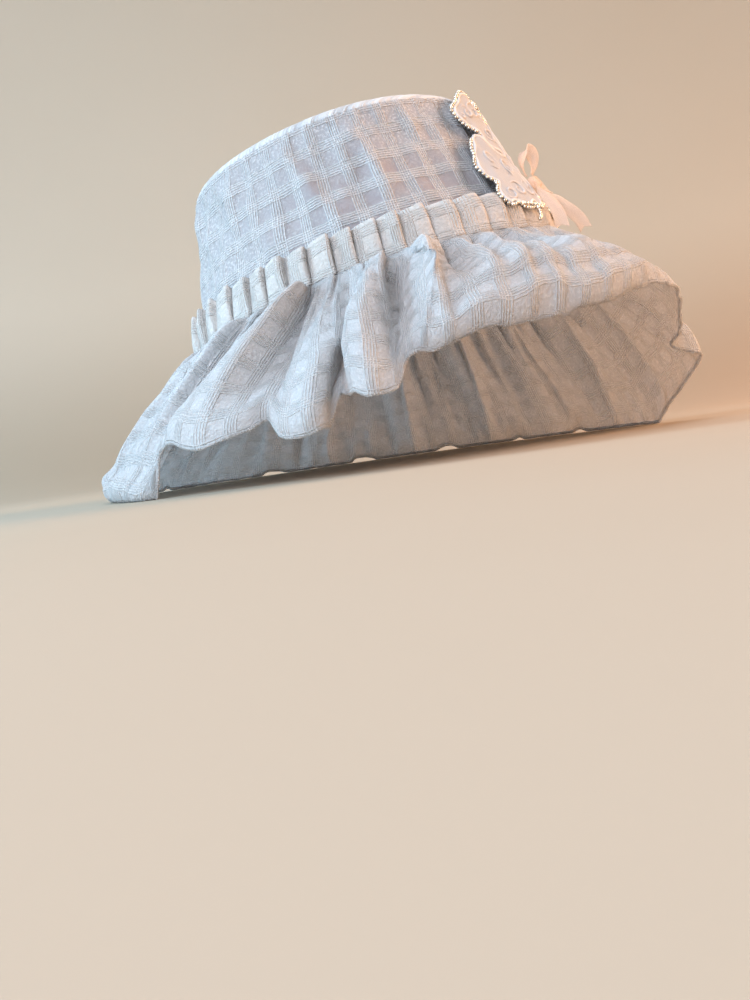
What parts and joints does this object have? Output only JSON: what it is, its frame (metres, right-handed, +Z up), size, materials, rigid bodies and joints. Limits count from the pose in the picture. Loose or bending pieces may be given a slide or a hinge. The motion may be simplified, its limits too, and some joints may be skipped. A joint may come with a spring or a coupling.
{
  "type": "ruffled gauze sun hat",
  "caption": "Soft sun hat of check gauze with a lined tapered crown, a gathered heading, a wide ruffled brim turned up in front, and a beaded butterfly applique with a ribbon bow.",
  "frame": {"origin": "the surface that the hat rests on, under the middle of its outline", "axes": "-Y towards the wearer's front, +X towards the wearer's left, +Z up"},
  "size_m": [0.3159, 0.3173, 0.1856],
  "materials": {
    "gauze": "white semi-sheer check-woven gauze with raised cords",
    "lining": "plain opaque white lining",
    "applique": "pale peach organza with embroidered scrolls",
    "beads": "small champagne and silver seed beads",
    "ribbon": "sheer pale peach ribbon"
  },
  "bodies": {
    "root": {"crown_top": "gauze", "crown_side": "gauze", "crown_lining": "lining", "header_frill": "gauze", "brim": "gauze", "wing_body": "applique", "wing_upper_near": "applique", "wing_lower_near": "applique", "wing_upper_far": "applique", "wing_lower_far": "applique", "beads_upper_near": "beads", "beads_lower_near": "beads", "beads_upper_far": "beads", "beads_lower_far": "beads", "bow_loop_upper": "ribbon", "bow_loop_lower": "ribbon", "bow_tail_long": "ribbon", "bow_tail_short": "ribbon", "bow_knot": "ribbon"}
  },
  "joints": []
}
